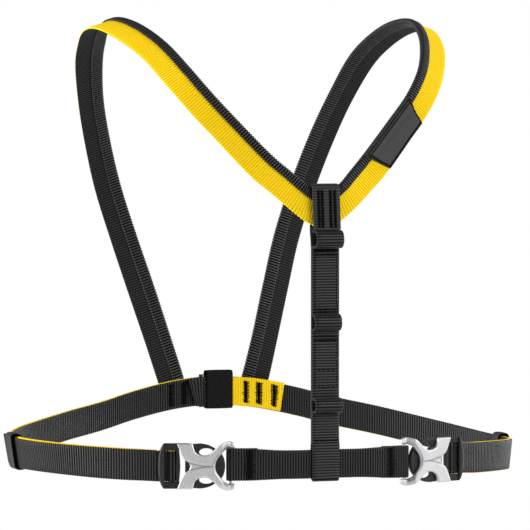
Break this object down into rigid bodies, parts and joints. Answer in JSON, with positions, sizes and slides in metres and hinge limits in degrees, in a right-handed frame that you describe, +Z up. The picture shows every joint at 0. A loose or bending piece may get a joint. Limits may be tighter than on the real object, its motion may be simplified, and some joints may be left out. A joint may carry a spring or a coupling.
{
  "type": "harness shoulder strap",
  "caption": "Chest harness with edge-bound shoulder straps, an upright front strap with gear loops and a belt closed by metal buckles, kept in the form it has when worn.",
  "frame": {"origin": "between the two shoulder straps, level with the undersides of their highest points, where the harness rests on the shoulders", "axes": "+X to the viewer's right (the wearer's left), +Y to the back, +Z up"},
  "size_m": [0.345, 0.2646, 0.3041],
  "materials": {
    "strap_yellow": "ribbed woven polyester, yellow outside and black inside",
    "binding_black": "coarse ribbed binding tape",
    "webbing_black": "ribbed woven polyester",
    "label_grey": "matt moulded panel",
    "buckle_plastic": "satin moulded plastic",
    "buckle_aluminium": "satin tumbled",
    "elastic_black": "woven elastic"
  },
  "bodies": {
    "root": {"shoulder_strap_left": "strap_yellow", "shoulder_strap_right": "strap_yellow", "shoulder_binding_left": "binding_black", "shoulder_binding_right": "binding_black", "label_patch": "label_grey", "front_strap_base": "webbing_black", "front_strap_face": "webbing_black", "chest_strap": "webbing_black", "belt_left": "webbing_black", "belt_right": "webbing_black", "buckle_body_left": "buckle_plastic", "buckle_body_right": "buckle_plastic", "buckle_frame_left": "buckle_aluminium", "buckle_frame_right": "buckle_aluminium", "side_keeper_left": "elastic_black", "side_keeper_right": "elastic_black", "back_sleeve": "elastic_black", "back_slide": "buckle_plastic"}
  },
  "joints": []
}
